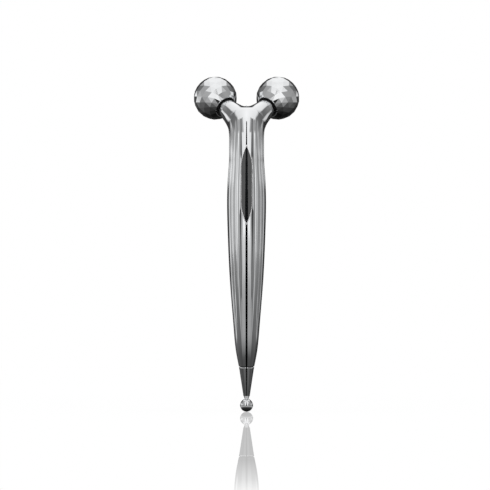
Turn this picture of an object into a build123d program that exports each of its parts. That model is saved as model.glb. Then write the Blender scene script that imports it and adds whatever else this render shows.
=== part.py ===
"""Facial toning device: a fluted handle that forks into two arms, each with a faceted roller ball,
a dark window over a solar cell in the front of the handle, and a slim tip ending in a small ball.

Millimetres. +Z runs up the handle, the window faces -Y, and X runs from the left roller to the right.
The origin is the lowest point of the tip ball, on the axis of the handle."""
import os
from functools import partial
from math import acos, asin, atan2, cos, degrees, radians, sin, sqrt

from build123d import *

# ---- handle ----
HANDLE_END_Z = 20.2
HANDLE_END_RADIUS = 3.45
HANDLE_STATIONS = ((26.4, 4.65), (37.1, 5.75), (58.6, 7.45), (80.0, 8.42), (94.0, 8.7), (105.0, 8.3))
WIDEST_RADIUS = 8.7
NECK_RADIUS = 7.83
BEND_START = 112.0           # the handle is straight below this height and bends back above it
FORK_Z = 127.75              # height at which the two roller axes meet
WALL = 1.5
CAVITY_LOW_Z = 31.0
CAVITY_TOP_Z = 119.0
SEAM = 0.03                  # gap between the two half shells

# ---- fork: the right arm, and the left one is its mirror image ----
ARM_DIRECTION = Vector(0.552, 0.669, 0.497).normalized()
BALL_DISTANCE = 25.4         # from the fork point to a ball's centre
ARM_ROOT_RADIUS = 6.8        # at the fork point, inside the neck's rounded head
SHOULDER_AT = 2.4            # where the arm comes out of the head
SHOULDER_RADIUS = 7.3
ARM_LENGTH = 16.7
ARM_END_RADIUS = 4.1
FORK_BLEND = 6.0             # radius that blends arms, neck and head into one another
CREASE_ANGLE = 4             # degrees; flatter meetings need no blend

# ---- flutes ----
LAND_ANGLE = 19.2            # half-angle of the smooth strip down the front
FRONT_FLUTES = 6             # on each side, from the smooth strip to the side seam
BACK_FLUTES = 8              # on each side, from the seam to the middle of the back
FLUTE_DEPTH = 0.27           # where the handle is widest; it shrinks with the square of the radius
FLUTE_START = 33.0
LOW_FADE = 24.0
TOP_FADE = 5.0
FADE_POWER = 1.5
JOIN_ANGLE = 43.5            # how far round the bend, at the sides, the smooth fork begins
JOIN_SLANT = 22.0            # the join leans by this, so the flutes reach further up the front than the back
JOIN_STEP = 0.015            # the handle's skin stands proud of the fork's by this where they meet
RUNOUT_MARGIN = 0.4          # the flutes end this far short of the join
PLUG_LENGTH = 2.0            # of the fork's core inside the handle's upper end
PLAIN_HEIGHTS = (HANDLE_END_Z, 23.0, 26.4, 31.0)
BODY_HEIGHTS = (68.0, 80.0, 94.0, 105.0)
FADE_STEPS = 4               # cross-sections while the flutes grow from nothing
BEND_STEPS = 8               # cross-sections round the bend
HALVINGS = 24

# ---- window ----
WINDOW_LOW_Z = 84.1
WINDOW_HIGH_Z = 118.4
WINDOW_HALF_WIDTH = 2.35
WINDOW_POINT = 9.5           # length of each pointed end
WINDOW_MID_ANGLE = 13        # degrees round a point's arc to the place that defines it
WINDOW_CUT_START = -14.0     # the window is cut between these two planes, in front of the axis
WINDOW_CUT_END = -3.0
BEZEL_WIDTH = 0.4
BEZEL_PROUD = 0.06
LENS_SUNK = 0.04
LENS_DEPTH = 0.8
GASKET_DEPTH = 1.1
LEDGE = 0.5                  # how far the ledge under the window's edge reaches in
FIT = 0.02                   # clearance around let-in pieces

# ---- solar cell, its tray and the wiring ----
CELL_HALF_WIDTH = 1.7
CELL_THICKNESS = 0.6
CELL_LOW_Z = 87.0
CELL_HIGH_Z = 114.0
CELL_CHAMFER = 0.8
TRAY_FRONT = -5.2
TRAY_BACK = -4.4
TRAY_HALF_WIDTH = 2.2
TRAY_LOW_Z = 72.5
TRAY_HIGH_Z = 116.0
TRAY_CORNER = 1.2
RAIL_HEIGHT = 0.5            # towards the front, past the tray's plate
RAIL_X = 2.0
RAIL_HALF_WIDTH = 0.2
TRAY_SCREW_HEIGHTS = (74.5, 80.2)
TRAY_SCREW_RADIUS = 0.7
TRAY_SCREW_HEAD_RADIUS = 1.3
TRAY_SCREW_LENGTH = 1.7
SCREW_HOLE_CLEARANCE = 0.05
STRIP_HALF_WIDTH = 0.7
STRIP_FRONT = 1.2
STRIP_THICKNESS = 0.3
STRIP_FOOT_BACK = 2.2        # the foot stands on the tip's socket
STRIP_TAB_FRONT = -0.6       # the tab touches the fork core's stem
LEAD_RADIUS = 0.35
LEAD_X = 1.5
LEAD_PATH = ((-4.4, 88.0), (-1.4, 92.0), (0.4, 100.0))    # (y, z) from the tray to the stem

# ---- fork core: a flat stem, a leaning bar, a hub and two sockets ----
STEM_HALF_WIDTH = 3.0
STEM_FRONT = -2.0
STEM_BACK = 3.0
STEM_LOW_Z = 100.0
STEM_HIGH_Z = 117.0
LINK_RADIUS = 3.0
CORE_HUB_RADIUS = 4.4
CORE_TUBE_RADIUS = 2.7
CORE_TUBE_LENGTH = 15.5
CORE_GAP = 0.03              # between the core and its seat in the shells
CORE_SCREW_HEIGHTS = (102.8, 108.2)
CORE_SCREW_RADIUS = 0.9
CORE_SCREW_HEAD_RADIUS = 1.5
CORE_SCREW_LENGTH = 7.0
COUNTERBORE_DEPTH = 1.0
COUNTERBORE_CLEARANCE = 0.1
SCREW_HEAD_HEIGHT = 0.9
SCREW_SOCKET_DEPTH = 0.5

# ---- posts inside the shells ----
PEG_PLACES = ((2.6, 48.0), (-2.8, 66.0))
PEG_RADIUS = 1.0
PEG_END = 2.0
SOCKET_RADIUS = 1.8
SOCKET_FACE = 0.2
SOCKET_BORE = 1.02
SOCKET_DEPTH = 3.5
TRAY_BOSS_RADIUS = 1.5
TRAY_BOSS_HOLE_END = -6.6
CORE_BOSS_RADIUS = 2.0
CORE_BOSS_HOLE_END = 6.1
WELL_OUTSIDE = 10.0          # posts start this far from the axis and are cut off inside the wall

# ---- along the roller axis from the ball's centre, which is 0 ----
BALL_RADIUS = 9.7
FACETS_AROUND = 20
FACET_ROWS = 8
MOUTH_Z = -8.2
MOUTH_BORE = 4.8
BORE_END_Z = 6.2
SEAL_LOW_Z = -7.6
HUB_LOW_Z = -6.6
HUB_HIGH_Z = 4.6
POCKET_RADIUS = 3.4
FLANGE_LOW_Z = 3.4
FLANGE_RADIUS = 3.3
BUSH_LOW_Z = -6.4
BUSH_HIGH_Z = 3.9
BUSH_RADIUS = 2.6
BUSH_BORE = 1.55
WASHER_LOW_Z = 4.1
WASHER_HIGH_Z = 4.4
WASHER_BORE = 1.52
GROOVE_LOW_Z = 4.5
GROOVE_HIGH_Z = 5.0
GROOVE_RADIUS = 1.15
CLIP_RADIUS = 2.5
CLIP_MOUTH = 1.6
SHAFT_RADIUS = 1.5
SHAFT_START = 4.0            # from the fork point
SHAFT_END_Z = 5.8
SHAFT_CLEARANCE = 0.1
SHAFT_CHAMFER = 0.2
COLLAR_RADIUS = 3.7
COLLAR_SUNK = 0.7
COLLAR_LENGTH = 1.5
SEAL_BORE = 1.9

# ---- tip ----
TIP_BALL_RADIUS = 2.9
NECK_OUTLINE = ((1.3, 4.5), (1.02, 6.1), (1.25, 7.0))    # (radius, height) of the waist above the tip ball
CONE_LOW_Z = 7.0
CONE_LOW_RADIUS = 1.42
CONE_TOP_Z = 19.4
CONE_TOP_RADIUS = 3.3
LIP_RADIUS = 3.42
LIP_TOP_Z = 19.85
LIP_CHAMFER = 0.1
TIP_SEAL_RADIUS = 3.05
STUD_RADIUS = 1.25
STUD_END_Z = 29.5
TIP_PIN_RADIUS = 0.8
TIP_PIN_END_Z = 10.8
TIP_PIN_HOLE_END_Z = 11.0
INSERT_LOW_Z = 21.0
INSERT_RADIUS = 2.3
INSERT_FLANGE_RADIUS = 2.9
INSERT_FLANGE_LOW_Z = 28.0

NECK_TILT = atan2(ARM_DIRECTION.Y, ARM_DIRECTION.Z)
BEND_RADIUS = (FORK_Z - BEND_START) / sin(NECK_TILT)
FORK_POINT = Vector(0, BEND_RADIUS * (1 - cos(NECK_TILT)), FORK_Z)
ROLLER_AXIS = Plane(origin=FORK_POINT, z_dir=ARM_DIRECTION)
BALL_PLACE = Plane(origin=FORK_POINT + ARM_DIRECTION * BALL_DISTANCE, z_dir=ARM_DIRECTION)
FAR = 80.0                   # longer than any piece, for cutting tools
LOW = (Align.CENTER, Align.CENTER, Align.MIN)


# ---- general shapes ----
def rod(radius, low, high):
    """A cylinder on the Z axis between two heights."""
    return Pos(0, 0, low) * Cylinder(radius, high - low, align=LOW)


def ring(outer, inner, low, high):
    """A flat ring on the Z axis between two heights."""
    return rod(outer, low, high) - rod(inner, low - 1, high + 1)


def rod_along_y(radius, x, z, front, back):
    """A cylinder parallel to Y at (x, z), from y = front to y = back."""
    return Plane(origin=(x, front, z), z_dir=(0, 1, 0)) * Cylinder(radius, back - front, align=LOW)


def block(x_half, front, back, low, high):
    """A box centred on x = 0, between two values of y and two of z."""
    size = Box(2 * x_half, back - front, high - low, align=(Align.CENTER, Align.MIN, Align.MIN))
    return Pos(0, front, low) * size


def polygon(corners):
    return make_face(Polyline(*corners, close=True).edges())


def turned(points):
    """A solid of revolution about Z from (radius, height) corners."""
    return revolve(polygon([(radius, 0, height) for radius, height in points]), Axis.Z)


def mirrored(part):
    return mirror(part, about=Plane.YZ)


# ---- handle blank ----
def meridian(grow=0.0):
    """The straight part's outline in the XZ plane, from the lower end to the start of the bend."""
    low = (HANDLE_END_RADIUS + grow, 0, HANDLE_END_Z)
    sides = [(radius + grow, 0, z) for z, radius in HANDLE_STATIONS]
    high = (NECK_RADIUS + grow, 0, BEND_START)
    return Spline(low, *sides, high, tangents=((0.2, 0, 1), (0, 0, 1)))


def blank(grow=0.0):
    """The handle, its bent neck and rounded head, without arms, grown or shrunk by an even amount."""
    outline = meridian(grow)
    corners = [outline.position_at(1), (0, 0, BEND_START), (0, 0, HANDLE_END_Z), outline.position_at(0)]
    edges = [outline] + Polyline(*corners).edges()
    straight = revolve(make_face(edges), Axis.Z)
    bend_axis = Axis((0, BEND_RADIUS, BEND_START), (-1, 0, 0))
    neck = revolve(Pos(0, 0, BEND_START) * Circle(NECK_RADIUS + grow), bend_axis, degrees(NECK_TILT))
    head = Pos(*FORK_POINT) * Sphere(NECK_RADIUS + grow)
    return straight + neck + head


def layer(outer_depth, inner_depth):
    """The skin of the blank between two depths below its surface."""
    return blank(-outer_depth) - blank(-inner_depth)


def arm():
    """A tapered arm that swells out of the head at its shoulder."""
    root = (ARM_ROOT_RADIUS, 0)
    shoulder = (SHOULDER_RADIUS, SHOULDER_AT)
    end = (ARM_END_RADIUS, ARM_LENGTH)
    return ROLLER_AXIS * turned([(0, 0), root, shoulder, end, (0, ARM_LENGTH)])


def fork_creases(body):
    """The inner corners where the arms meet the neck, the head and each other."""
    borders = [(face, face.edges()) for face in body.faces()]
    creases = []
    for edge in body.edges():
        sides = [face for face, edges in borders if any(edge.is_same(other) for other in edges)]
        is_rim = edge.geom_type == GeomType.CIRCLE
        if edge.bounding_box().min.Z < BEND_START or len(sides) < 2 or is_rim:
            continue
        middle = edge.position_at(0.5)
        if sides[0].normal_at(middle).get_angle(sides[1].normal_at(middle)) > CREASE_ANGLE:
            creases.append(edge)
    return creases


def smooth_body():
    """The handle, neck and both arms, blended into one another."""
    body = blank() + arm() + mirrored(arm())
    return fillet(fork_creases(body), FORK_BLEND)


# ---- flutes ----
def axis_plane(along):
    """The plane across the handle's axis at a distance along it, which equals z below the bend.
    Its local y points to the back."""
    if along <= BEND_START:
        return Plane(origin=(0, 0, along), x_dir=(1, 0, 0), z_dir=(0, 0, 1))
    turn = (along - BEND_START) / BEND_RADIUS
    origin = (0, BEND_RADIUS * (1 - cos(turn)), BEND_START + BEND_RADIUS * sin(turn))
    return Plane(origin=origin, x_dir=(1, 0, 0), z_dir=(0, sin(turn), cos(turn)))


def slanted_plane(share):
    """A plane through the bent axis that leans more and more, from the start of the bend to the join."""
    origin = axis_plane(BEND_START + share * BEND_RADIUS * radians(JOIN_ANGLE)).origin
    lean = radians(share * (JOIN_ANGLE + JOIN_SLANT))
    return Plane(origin=origin, x_dir=(1, 0, 0), z_dir=(0, sin(lean), cos(lean)))


def along_at(share, azimuth, radius):
    """How far along the axis a skin of that radius meets, at an azimuth, the slanted plane of that share."""
    lean = radians(share * (JOIN_ANGLE + JOIN_SLANT))
    from_bend_centre = BEND_RADIUS - radius * sin(radians(azimuth))
    slant = asin(BEND_RADIUS * sin(radians(share * JOIN_SLANT)) / from_bend_centre)
    return BEND_START + BEND_RADIUS * (lean - slant)


def place_on_skin(along, azimuth, radius):
    plane = axis_plane(along)
    turn = radians(azimuth)
    return plane.origin + plane.x_dir * (radius * cos(turn)) + plane.y_dir * (radius * sin(turn))


def surface_radius(outline, z):
    """The straight handle's radius at a height, found by halving."""
    low, high = 0.0, 1.0
    for _ in range(HALVINGS):
        middle = (low + high) / 2
        if outline.position_at(middle).Z < z:
            low = middle
        else:
            high = middle
    return outline.position_at(low).X


def flute_borders():
    """Azimuths of the ridges, from the right edge of the front strip round the back to its left edge."""
    front_pitch = (90 - LAND_ANGLE) / FRONT_FLUTES
    back_pitch = 90 / BACK_FLUTES
    right = [-90 + LAND_ANGLE + front_pitch * k for k in range(FRONT_FLUTES)]
    right += [back_pitch * k for k in range(BACK_FLUTES)]
    left = [180 - azimuth for azimuth in reversed(right)]
    return right + [90] + left


def flute_depth(along, radius, azimuth):
    """Depth of a flute, which fades to nothing at both ends."""
    runout = along_at(1, azimuth, NECK_RADIUS) - RUNOUT_MARGIN
    reach = min((along - FLUTE_START) / LOW_FADE, (runout - along) / TOP_FADE, 1.0)
    return FLUTE_DEPTH * (radius / WIDEST_RADIUS) ** 2 * max(reach, 0) ** FADE_POWER


def scalloped_section(along_of, radius):
    """A cross-section as shallow curves between ridges. along_of tells how far along the axis the section
    lies at an azimuth and a radius."""
    def corner(azimuth, depth=0.0):
        return place_on_skin(along_of(azimuth, radius - depth), azimuth, radius - depth)

    borders = flute_borders()
    strip = [-90 - LAND_ANGLE, -90, -90 + LAND_ANGLE]
    edges = []
    for start, end in [*zip(borders, borders[1:]), *zip(strip, strip[1:])]:
        middle = (start + end) / 2
        is_flute = start in borders and end in borders
        depth = flute_depth(along_of(middle, radius), radius, middle) if is_flute else 0
        near, far = corner(start), corner(end)
        edges.append(Bezier(near, corner(middle, depth) * 2 - (near + far) / 2, far))
    return make_face(edges)


def fluted_handle():
    """The handle up to the smooth fork, as one skin through scalloped cross-sections."""
    outline = meridian()
    heights = [*PLAIN_HEIGHTS, FLUTE_START]
    heights += [FLUTE_START + LOW_FADE * (k + 1) / FADE_STEPS for k in range(FADE_STEPS)]
    heights += [*BODY_HEIGHTS, BEND_START]
    sections = [scalloped_section(lambda *_, z=z: z, surface_radius(outline, z)) for z in heights]
    for step in range(1, BEND_STEPS + 1):
        radius = NECK_RADIUS + JOIN_STEP * (step == BEND_STEPS)
        sections.append(scalloped_section(partial(along_at, step / BEND_STEPS), radius))
    return loft(sections)


def fluted_body():
    """The fluted handle and the smooth fork, which plugs into it across the slanted join below the arms."""
    join_plane = slanted_plane(1)
    fork = smooth_body() & (join_plane * Box(FAR, FAR, FAR, align=LOW))
    plug = join_plane * rod(NECK_RADIUS - WALL, -PLUG_LENGTH, 1)
    return fluted_handle() + (fork + plug)


# ---- window ----
def spindle(grow=0.0):
    """A prism with the window's outline, pointed at both ends, running back from the front."""
    arc_radius = (WINDOW_POINT**2 + WINDOW_HALF_WIDTH**2) / (2 * WINDOW_HALF_WIDTH)
    arc_offset = arc_radius - WINDOW_HALF_WIDTH
    side = WINDOW_HALF_WIDTH + grow
    reach = sqrt((arc_radius + grow) ** 2 - arc_offset**2)
    mid_x = (arc_radius + grow) * cos(radians(WINDOW_MID_ANGLE)) - arc_offset
    mid_rise = (arc_radius + grow) * sin(radians(WINDOW_MID_ANGLE))
    low = WINDOW_LOW_Z + WINDOW_POINT
    high = WINDOW_HIGH_Z - WINDOW_POINT
    outline = [
        ThreePointArc((side, high), (mid_x, high + mid_rise), (0, high + reach)),
        ThreePointArc((0, high + reach), (-mid_x, high + mid_rise), (-side, high)),
        Line((-side, high), (-side, low)),
        ThreePointArc((-side, low), (-mid_x, low - mid_rise), (0, low - reach)),
        ThreePointArc((0, low - reach), (mid_x, low - mid_rise), (side, low)),
        Line((side, low), (side, high)),
    ]
    front = Plane(origin=(0, WINDOW_CUT_START, 0), x_dir=(1, 0, 0), z_dir=(0, -1, 0))
    return extrude(front * make_face(outline), amount=WINDOW_CUT_END - WINDOW_CUT_START, dir=(0, 1, 0))


def window_lens():
    return layer(LENS_SUNK, LENS_DEPTH) & spindle(-FIT)


def window_bezel():
    return (layer(-BEZEL_PROUD, LENS_DEPTH) & spindle(BEZEL_WIDTH - FIT)) - spindle()


def window_gasket():
    return (layer(LENS_DEPTH, GASKET_DEPTH) & spindle(BEZEL_WIDTH - FIT)) - spindle(-LEDGE)


def window_cut():
    """What the window takes out of the shell: a stepped opening with a ledge for the gasket."""
    recess = (blank(1) - blank(-GASKET_DEPTH)) & spindle(BEZEL_WIDTH)
    return recess + spindle(-LEDGE)


# ---- fork core and shafts ----
def core_outside(grow=0.0):
    """A flat stem, a bar that leans back to a round hub, and two sockets along the roller axes."""
    low, high = STEM_LOW_Z - grow, STEM_HIGH_Z + grow
    stem = block(STEM_HALF_WIDTH + grow, STEM_FRONT - grow, STEM_BACK + grow, low, high)
    foot = Vector(0, (STEM_FRONT + STEM_BACK) / 2, BEND_START)
    lean = FORK_POINT - foot
    link = Plane(origin=foot, z_dir=lean) * rod(LINK_RADIUS + grow, 0, lean.length)
    hub = Pos(*FORK_POINT) * Sphere(CORE_HUB_RADIUS + grow)
    tube = ROLLER_AXIS * rod(CORE_TUBE_RADIUS + grow, 0, CORE_TUBE_LENGTH + grow)
    return stem + link + hub + tube + mirrored(tube)


def fork_core():
    core = core_outside()
    bore = ROLLER_AXIS * rod(SHAFT_RADIUS, SHAFT_START, ARM_LENGTH)
    core = core - bore - mirrored(bore)
    for z in CORE_SCREW_HEIGHTS:
        core = core - rod_along_y(CORE_SCREW_RADIUS, 0, z, STEM_FRONT - 1, STEM_BACK + 1)
        head_bore = CORE_SCREW_HEAD_RADIUS + COUNTERBORE_CLEARANCE
        core = core - rod_along_y(head_bore, 0, z, STEM_FRONT - 1, STEM_FRONT + COUNTERBORE_DEPTH)
    return core


def screw_along_y(z, head_face, direction, head_radius, shank_radius, length):
    """A screw with a hexagon socket in its head; its shank runs along Y in the given direction."""
    place = Plane(origin=(0, head_face, z), z_dir=(0, direction, 0))
    head = Cylinder(head_radius, SCREW_HEAD_HEIGHT, align=LOW)
    socket = extrude(RegularPolygon(head_radius / 2, 6), amount=SCREW_SOCKET_DEPTH)
    shank = Pos(0, 0, SCREW_HEAD_HEIGHT) * Cylinder(shank_radius, length, align=LOW)
    return place * (head - socket + shank)


def core_screws():
    """Two screws from the front of the stem into bosses on the back shell."""
    sizes = (CORE_SCREW_HEAD_RADIUS, CORE_SCREW_RADIUS, CORE_SCREW_LENGTH)
    head_face = STEM_FRONT + COUNTERBORE_DEPTH - SCREW_HEAD_HEIGHT
    return [screw_along_y(z, head_face, 1, *sizes) for z in CORE_SCREW_HEIGHTS]


def shaft():
    body = rod(SHAFT_RADIUS, SHAFT_START - BALL_DISTANCE, SHAFT_END_Z)
    body = chamfer(body.edges().filter_by(GeomType.CIRCLE), SHAFT_CHAMFER)
    return BALL_PLACE * (body - ring(SHAFT_RADIUS + 1, GROOVE_RADIUS, GROOVE_LOW_Z, GROOVE_HIGH_Z))


def retaining_clip():
    """A C-shaped clip in the shaft's groove."""
    clip = ring(CLIP_RADIUS, GROOVE_RADIUS, GROOVE_LOW_Z + FIT, GROOVE_HIGH_Z - FIT)
    mouth = Pos(CLIP_RADIUS, 0, GROOVE_LOW_Z) * Box(2 * CLIP_RADIUS, CLIP_MOUTH, 2)
    return BALL_PLACE * (clip - mouth)


def thrust_washer():
    return BALL_PLACE * ring(BUSH_RADIUS, WASHER_BORE, WASHER_LOW_Z, WASHER_HIGH_Z)


def arm_collar():
    """The dark ring that closes the end of an arm around its shaft."""
    low = ARM_LENGTH - COLLAR_SUNK - BALL_DISTANCE
    return BALL_PLACE * ring(COLLAR_RADIUS, SHAFT_RADIUS, low, low + COLLAR_LENGTH)


# ---- shells ----
def front_region(gap):
    """Everything in front of the parting surface, which follows the handle's axis and both roller axes."""
    bend_mid = axis_plane(BEND_START + BEND_RADIUS * NECK_TILT / 2)
    middle = bend_mid.origin - bend_mid.y_dir * gap
    end = axis_plane(BEND_START + BEND_RADIUS * NECK_TILT)
    fork = end.origin - end.y_dir * gap
    far = fork + end.z_dir * FAR
    above = far.Z + FAR
    corners = [far, (0, far.Y, above), (0, -FAR, above), (0, -FAR, 0), (0, -gap, 0), (0, -gap, BEND_START)]
    edges = [ThreePointArc((0, -gap, BEND_START), middle, fork), Line(fork, far)] + Polyline(*corners).edges()
    return extrude(make_face(edges), amount=FAR / 2, dir=(1, 0, 0), both=True)


def hollows():
    """What both shells leave free inside: the cavity, the core's seat, the shaft holes and the tip's seat."""
    cavity = blank(-WALL) & rod(FAR, CAVITY_LOW_Z, CAVITY_TOP_Z)
    shaft_hole = ROLLER_AXIS * rod(SHAFT_RADIUS + SHAFT_CLEARANCE, 0, ARM_LENGTH + 1)
    collar_seat = ROLLER_AXIS * rod(COLLAR_RADIUS, ARM_LENGTH - COLLAR_SUNK, ARM_LENGTH + 1)
    arm_hole = shaft_hole + collar_seat
    tip_seat = rod(INSERT_RADIUS, HANDLE_END_Z - 1, CAVITY_LOW_Z + 1)
    tip_seat = tip_seat + rod(INSERT_FLANGE_RADIUS, INSERT_FLANGE_LOW_Z, STUD_END_Z)
    return [cavity, core_outside(CORE_GAP), arm_hole, mirrored(arm_hole), tip_seat]


def rooted(posts):
    """Posts that run outwards from the inside, cut off halfway through the casing's wall."""
    limit = blank(-WALL / 2)
    return [post & limit for post in posts]


def front_shell(body, inside):
    """The half with the window, two locating pegs and the bosses for the tray's screws."""
    pegs = [rod_along_y(PEG_RADIUS, x, z, -WELL_OUTSIDE, PEG_END) for x, z in PEG_PLACES]
    bosses = [rod_along_y(TRAY_BOSS_RADIUS, 0, z, -WELL_OUTSIDE, TRAY_FRONT) for z in TRAY_SCREW_HEIGHTS]
    hole_ends = (TRAY_BOSS_HOLE_END, TRAY_FRONT + 1)
    holes = [rod_along_y(TRAY_SCREW_RADIUS, 0, z, *hole_ends) for z in TRAY_SCREW_HEIGHTS]
    shell = (body & front_region(SEAM / 2)) - inside
    return (shell + rooted(pegs + bosses)) - holes - window_cut()


def back_shell(body, inside):
    """The plain half, with sockets for the pegs and the bosses for the core's screws."""
    sockets = [rod_along_y(SOCKET_RADIUS, x, z, SOCKET_FACE, WELL_OUTSIDE) for x, z in PEG_PLACES]
    bosses = [rod_along_y(CORE_BOSS_RADIUS, 0, z, STEM_BACK, WELL_OUTSIDE) for z in CORE_SCREW_HEIGHTS]
    holes = [rod_along_y(SOCKET_BORE, x, z, 0, SOCKET_DEPTH) for x, z in PEG_PLACES]
    hole_ends = (STEM_BACK - 1, CORE_BOSS_HOLE_END)
    holes += [rod_along_y(CORE_SCREW_RADIUS, 0, z, *hole_ends) for z in CORE_SCREW_HEIGHTS]
    shell = (body - front_region(-SEAM / 2)) - inside
    return (shell + rooted(sockets + bosses)) - holes


# ---- solar cell and wiring ----
def solar_panel():
    cell = block(CELL_HALF_WIDTH, TRAY_FRONT - CELL_THICKNESS, TRAY_FRONT, CELL_LOW_Z, CELL_HIGH_Z)
    return chamfer(cell.edges().filter_by(Axis.Y), CELL_CHAMFER)


def panel_tray():
    """A plate behind the cell with a rail down each side, screwed to bosses on the front shell."""
    plate = block(TRAY_HALF_WIDTH, TRAY_FRONT, TRAY_BACK, TRAY_LOW_Z, TRAY_HIGH_Z)
    plate = fillet(plate.edges().filter_by(Axis.Y), TRAY_CORNER)
    rail = block(RAIL_HALF_WIDTH, TRAY_FRONT - RAIL_HEIGHT, TRAY_BACK, CELL_LOW_Z, CELL_HIGH_Z)
    plate = plate + Pos(RAIL_X, 0, 0) * rail + Pos(-RAIL_X, 0, 0) * rail
    for z in TRAY_SCREW_HEIGHTS:
        hole = rod_along_y(TRAY_SCREW_RADIUS + SCREW_HOLE_CLEARANCE, 0, z, TRAY_FRONT - 1, TRAY_BACK + 1)
        plate = plate - hole
    return plate


def tray_screws():
    """Two screws from behind the tray into the front shell's bosses."""
    head_face = TRAY_BACK + SCREW_HEAD_HEIGHT
    sizes = (TRAY_SCREW_HEAD_RADIUS, TRAY_SCREW_RADIUS, TRAY_SCREW_LENGTH)
    return [screw_along_y(z, head_face, -1, *sizes) for z in TRAY_SCREW_HEIGHTS]


def contact_strip():
    """A springy metal strip that joins the tip's socket to the fork core."""
    back = STRIP_FRONT + STRIP_THICKNESS
    strip = block(STRIP_HALF_WIDTH, STRIP_FRONT, back, CAVITY_LOW_Z, STEM_LOW_Z)
    foot_top = CAVITY_LOW_Z + STRIP_THICKNESS
    foot = block(STRIP_HALF_WIDTH, STRIP_FRONT, STRIP_FOOT_BACK, CAVITY_LOW_Z, foot_top)
    tab = block(STRIP_HALF_WIDTH, STRIP_TAB_FRONT, back, STEM_LOW_Z - STRIP_THICKNESS, STEM_LOW_Z)
    return strip + foot + tab


def panel_lead():
    """The insulated wire from the back of the tray up to the fork core."""
    points = [(LEAD_X, y, z) for y, z in LEAD_PATH]
    path = Spline(*points, tangents=((0, 1, 0), (0, 0, 1)))
    profile = Plane(origin=points[0], z_dir=(0, 1, 0)) * Circle(LEAD_RADIUS)
    return sweep(profile, path=path)


# ---- tip ----
def tip_socket():
    """The flanged metal insert that the tip's stud screws into."""
    body = rod(INSERT_RADIUS, INSERT_LOW_Z, CAVITY_LOW_Z)
    flange = rod(INSERT_FLANGE_RADIUS, INSERT_FLANGE_LOW_Z, STUD_END_Z)
    return body + flange - rod(STUD_RADIUS, INSERT_LOW_Z - 1, CAVITY_LOW_Z + 1)


def tip_seal():
    return ring(TIP_SEAL_RADIUS, SEAL_BORE, LIP_TOP_Z, HANDLE_END_Z)


def tip_ring():
    lip = ring(LIP_RADIUS, STUD_RADIUS, CONE_TOP_Z, LIP_TOP_Z)
    return chamfer(lip.edges().filter_by(GeomType.CIRCLE).sort_by(SortBy.RADIUS)[-2:], LIP_CHAMFER)


def tip_cone():
    """The cone with the stud above it and a blind hole for the ball's pin below."""
    outline = [
        (TIP_PIN_RADIUS, CONE_LOW_Z),
        (CONE_LOW_RADIUS, CONE_LOW_Z),
        (CONE_TOP_RADIUS, CONE_TOP_Z),
        (STUD_RADIUS, CONE_TOP_Z),
        (STUD_RADIUS, STUD_END_Z),
        (0, STUD_END_Z),
        (0, TIP_PIN_HOLE_END_Z),
        (TIP_PIN_RADIUS, TIP_PIN_HOLE_END_Z),
    ]
    return turned(outline)


def tip_ball():
    ball = Pos(0, 0, TIP_BALL_RADIUS) * Sphere(TIP_BALL_RADIUS)
    neck = turned([(0, NECK_OUTLINE[0][1]), *NECK_OUTLINE, (0, NECK_OUTLINE[-1][1])])
    return ball + neck + rod(TIP_PIN_RADIUS, CONE_LOW_Z - 1, TIP_PIN_END_Z)


# ---- roller balls, built along the roller axis with the ball's centre at the origin ----
def facet_ring(polar, count, turn):
    """Corners evenly round the ball at one polar angle from its outer end."""
    across = BALL_RADIUS * sin(polar)
    height = BALL_RADIUS * cos(polar)
    angles = [radians(360 * (k + turn) / count) for k in range(count)]
    return [(across * cos(angle), across * sin(angle), height) for angle in angles]


def facet_rings():
    """Rows of corners from the mouth to the outer end, each turned half a facet from the row before."""
    mouth = acos(MOUTH_Z / BALL_RADIUS)
    step = mouth / (FACET_ROWS + 1)
    rings = [facet_ring(mouth - step * row, FACETS_AROUND, row / 2) for row in range(FACET_ROWS)]
    rings.append(facet_ring(step, FACETS_AROUND // 2, (FACET_ROWS + 1) / 4))
    return rings


def facet_row(lower, upper):
    """Triangles between two rows of corners; each upper corner is fanned over its share of the lower row."""
    share = len(lower) // len(upper)
    faces = []
    for k, corner in enumerate(upper):
        for i in range(share * k, share * (k + 1)):
            faces.append(polygon([lower[i], lower[(i + 1) % len(lower)], corner]))
        shared_corner = lower[share * (k + 1) % len(lower)]
        faces.append(polygon([corner, shared_corner, upper[(k + 1) % len(upper)]]))
    return faces


def faceted_ball():
    rings = facet_rings()
    faces = [polygon(rings[0]), polygon(rings[-1])]
    for lower, upper in zip(rings, rings[1:]):
        faces += facet_row(lower, upper)
    return Solid(Shell(faces))


def ball_skin():
    """The plated, faceted ball with the blind bore that takes its hub."""
    return BALL_PLACE * (faceted_ball() - rod(MOUTH_BORE, MOUTH_Z - 1, BORE_END_Z))


def ball_seal():
    """The dark ring just inside the ball's mouth."""
    return BALL_PLACE * ring(MOUTH_BORE, SEAL_BORE, SEAL_LOW_Z, HUB_LOW_Z)


def ball_hub():
    """The plastic hub in the ball's bore, with a pocket at its outer end for washer and clip."""
    hub = ring(MOUTH_BORE, BUSH_RADIUS, HUB_LOW_Z, HUB_HIGH_Z)
    return BALL_PLACE * (hub - rod(POCKET_RADIUS, FLANGE_LOW_Z, HUB_HIGH_Z + 1))


def bearing_bush():
    """The flanged bush that turns with the ball on its shaft."""
    sleeve = rod(BUSH_RADIUS, BUSH_LOW_Z, BUSH_HIGH_Z) + rod(FLANGE_RADIUS, FLANGE_LOW_Z, BUSH_HIGH_Z)
    return BALL_PLACE * (sleeve - rod(BUSH_BORE, BUSH_LOW_Z - 1, BUSH_HIGH_Z + 1))


def roller_pieces():
    """The pieces that come in mirrored pairs, as made on the right."""
    return {
        "shaft": shaft(),
        "arm_collar": arm_collar(),
        "thrust_washer": thrust_washer(),
        "retaining_clip": retaining_clip(),
        "ball_skin": ball_skin(),
        "ball_seal": ball_seal(),
        "ball_hub": ball_hub(),
        "bearing_bush": bearing_bush(),
    }


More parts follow.
